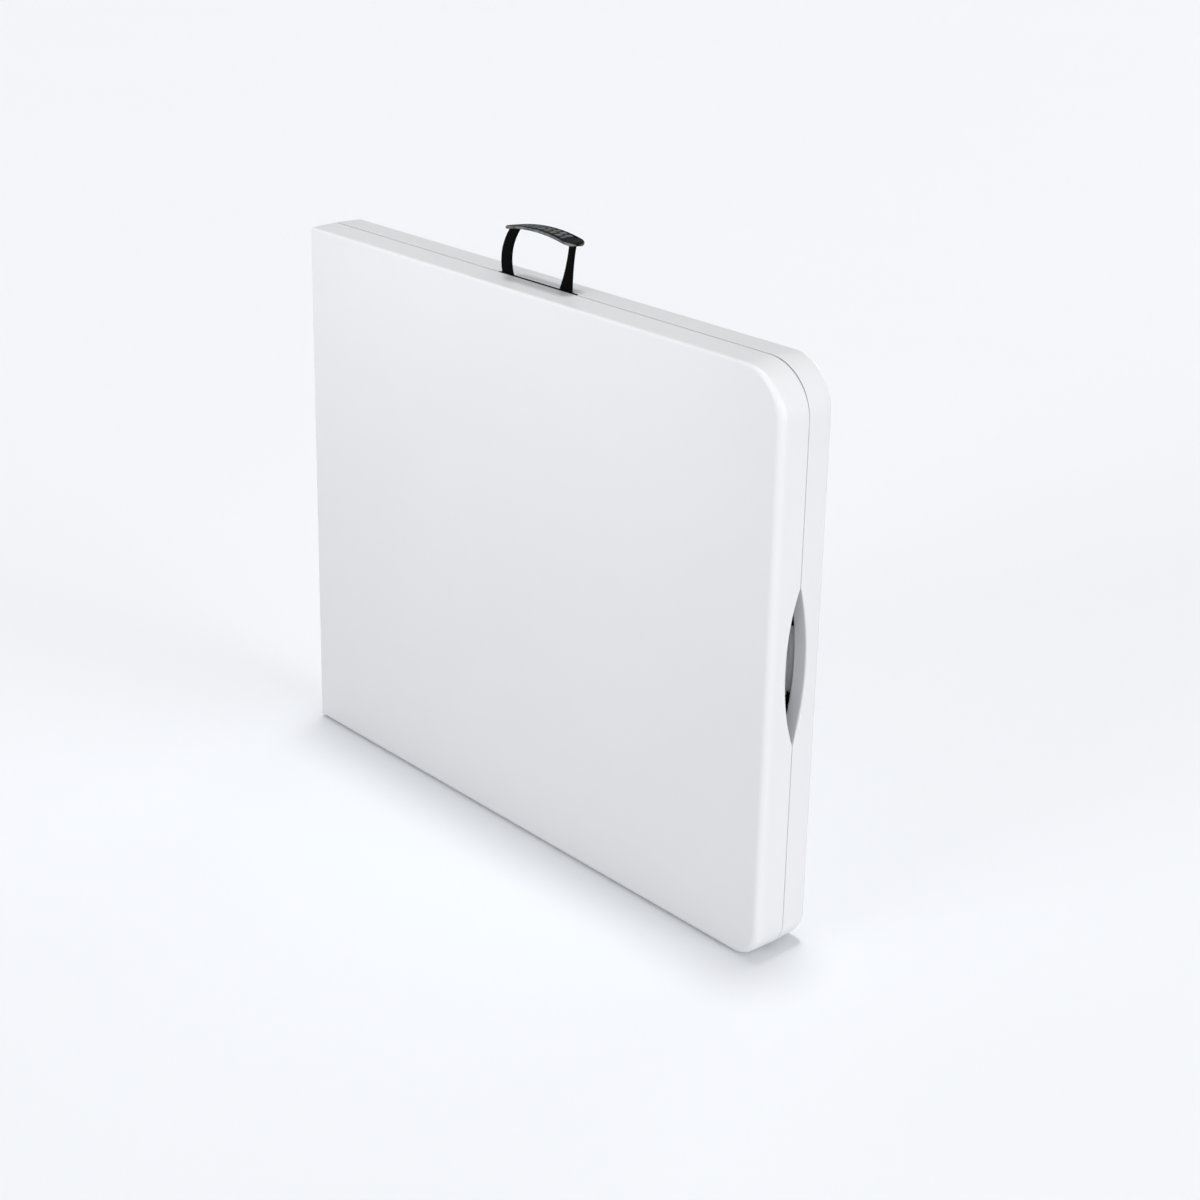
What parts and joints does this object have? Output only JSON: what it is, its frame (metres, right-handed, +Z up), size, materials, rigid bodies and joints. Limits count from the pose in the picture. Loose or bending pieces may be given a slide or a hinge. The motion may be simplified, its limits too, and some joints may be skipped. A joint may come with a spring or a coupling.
{
  "type": "folding table",
  "caption": "Fold-in-half table closed like a suitcase on its long edge, with a carry handle and a finger opening; telescopic legs fold inside.",
  "frame": {"origin": "middle of the closed table's footprint, on the floor", "axes": "+X along the length towards the outer end (fold at -X), +Y through the thickness from half A to half B, +Z up to the handle"},
  "size_m": [0.921, 0.088, 0.8346],
  "materials": {
    "white_plastic": "fine moulded grain",
    "black_plastic": "satin moulded",
    "grey_paint": "powder coat",
    "steel": "zinc plated",
    "rubber": "matt"
  },
  "bodies": {
    "half_a": {"panel_a": "white_plastic", "rail_a_floor_side": "grey_paint", "hinge_leaf_a_floor_side": "steel", "hinge_rivet_a_floor_side_1": "steel", "hinge_rivet_a_floor_side_2": "steel", "pivot_clip_a_floor_side": "black_plastic", "brace_clip_a_floor_side": "black_plastic", "hinge_pin_floor_side": "steel", "rail_a_handle_side": "grey_paint", "hinge_leaf_a_handle_side": "steel", "hinge_rivet_a_handle_side_1": "steel", "hinge_rivet_a_handle_side_2": "steel", "pivot_clip_a_handle_side": "black_plastic", "brace_clip_a_handle_side": "black_plastic", "hinge_pin_handle_side": "steel"},
    "leg_a": {"leg_a_pivot_tube": "grey_paint", "leg_a_crossbar": "grey_paint", "leg_a_outer_tube_floor_side": "grey_paint", "leg_a_outer_tube_handle_side": "grey_paint", "brace_stud_a_floor_side": "steel", "brace_stud_a_handle_side": "steel"},
    "leg_a_extension": {"leg_a_foot_bar": "grey_paint", "leg_a_inner_tube_floor_side": "grey_paint", "leg_a_inner_tube_handle_side": "grey_paint", "leg_a_foot_cap_floor_side": "rubber", "leg_a_foot_cap_handle_side": "rubber"},
    "brace_a": {"brace_a": "grey_paint"},
    "collar_a_floor_side": {"leg_a_collar_floor_side": "black_plastic"},
    "collar_a_handle_side": {"leg_a_collar_handle_side": "black_plastic"},
    "half_b": {"panel_b": "white_plastic", "rail_b_floor_side": "grey_paint", "hinge_leaf_b_floor_side": "steel", "hinge_rivet_b_floor_side_1": "steel", "hinge_rivet_b_floor_side_2": "steel", "pivot_clip_b_floor_side": "black_plastic", "brace_clip_b_floor_side": "black_plastic", "rail_b_handle_side": "grey_paint", "hinge_leaf_b_handle_side": "steel", "hinge_rivet_b_handle_side_1": "steel", "hinge_rivet_b_handle_side_2": "steel", "pivot_clip_b_handle_side": "black_plastic", "brace_clip_b_handle_side": "black_plastic"},
    "leg_b": {"leg_b_pivot_tube": "grey_paint", "leg_b_crossbar": "grey_paint", "leg_b_outer_tube_floor_side": "grey_paint", "leg_b_outer_tube_handle_side": "grey_paint", "brace_stud_b_floor_side": "steel", "brace_stud_b_handle_side": "steel"},
    "leg_b_extension": {"leg_b_foot_bar": "grey_paint", "leg_b_inner_tube_floor_side": "grey_paint", "leg_b_inner_tube_handle_side": "grey_paint", "leg_b_foot_cap_floor_side": "rubber", "leg_b_foot_cap_handle_side": "rubber"},
    "brace_b": {"brace_b": "grey_paint"},
    "collar_b_floor_side": {"leg_b_collar_floor_side": "black_plastic"},
    "collar_b_handle_side": {"leg_b_collar_handle_side": "black_plastic"},
    "handle": {"handle_strap": "black_plastic", "handle_grip": "black_plastic"}
  },
  "joints": [
    {"name": "centre_fold", "type": "hinge", "parent": "half_a", "child": "half_b", "pos_m": [-0.4575, 0, 0.38], "axis": [0, 0, 1], "range_deg": [0, 180]},
    {"name": "leg_a_swing", "type": "hinge", "parent": "half_a", "child": "leg_a", "pos_m": [0.4125, -0.0155, 0.38], "axis": [0, 0, -1], "range_deg": [0, 90]},
    {"name": "brace_a_swing", "type": "hinge", "parent": "leg_a", "child": "brace_a", "pos_m": [0.1125, -0.0155, 0.38], "axis": [0, 0, 1], "range_deg": [0, 129.07]},
    {"name": "leg_a_slide", "type": "slide", "parent": "leg_a", "child": "leg_a_extension", "axis": [-1, 0, 0], "range_m": [0, 0.2535]},
    {"name": "collar_a_floor_side_twist", "type": "hinge", "parent": "leg_a", "child": "collar_a_floor_side", "pos_m": [0.0085, -0.0155, 0.11], "axis": [-1, 0, 0], "range_deg": [0, 90]},
    {"name": "collar_a_handle_side_twist", "type": "hinge", "parent": "leg_a", "child": "collar_a_handle_side", "pos_m": [0.0085, -0.0155, 0.65], "axis": [-1, 0, 0], "range_deg": [0, 90]},
    {"name": "leg_b_swing", "type": "hinge", "parent": "half_b", "child": "leg_b", "pos_m": [0.4125, 0.0155, 0.38], "axis": [0, 0, 1], "range_deg": [0, 90]},
    {"name": "brace_b_swing", "type": "hinge", "parent": "leg_b", "child": "brace_b", "pos_m": [0.1125, 0.0155, 0.38], "axis": [0, 0, -1], "range_deg": [0, 129.07]},
    {"name": "leg_b_slide", "type": "slide", "parent": "leg_b", "child": "leg_b_extension", "axis": [-1, 0, 0], "range_m": [0, 0.2535]},
    {"name": "collar_b_floor_side_twist", "type": "hinge", "parent": "leg_b", "child": "collar_b_floor_side", "pos_m": [0.0085, 0.0155, 0.11], "axis": [-1, 0, 0], "range_deg": [0, 90]},
    {"name": "collar_b_handle_side_twist", "type": "hinge", "parent": "leg_b", "child": "collar_b_handle_side", "pos_m": [0.0085, 0.0155, 0.65], "axis": [-1, 0, 0], "range_deg": [0, 90]},
    {"name": "handle_slide", "type": "slide", "parent": "half_b", "child": "handle", "axis": [0, 0, -1], "range_m": [0, 0.048]}
  ],
  "couplings": [
    {"joint": "leg_a_swing", "follows": "centre_fold", "ratio": 0.5},
    {"joint": "brace_a_swing", "follows": "centre_fold", "ratio": 0.71705},
    {"joint": "leg_b_swing", "follows": "centre_fold", "ratio": 0.5},
    {"joint": "brace_b_swing", "follows": "centre_fold", "ratio": 0.71705}
  ]
}
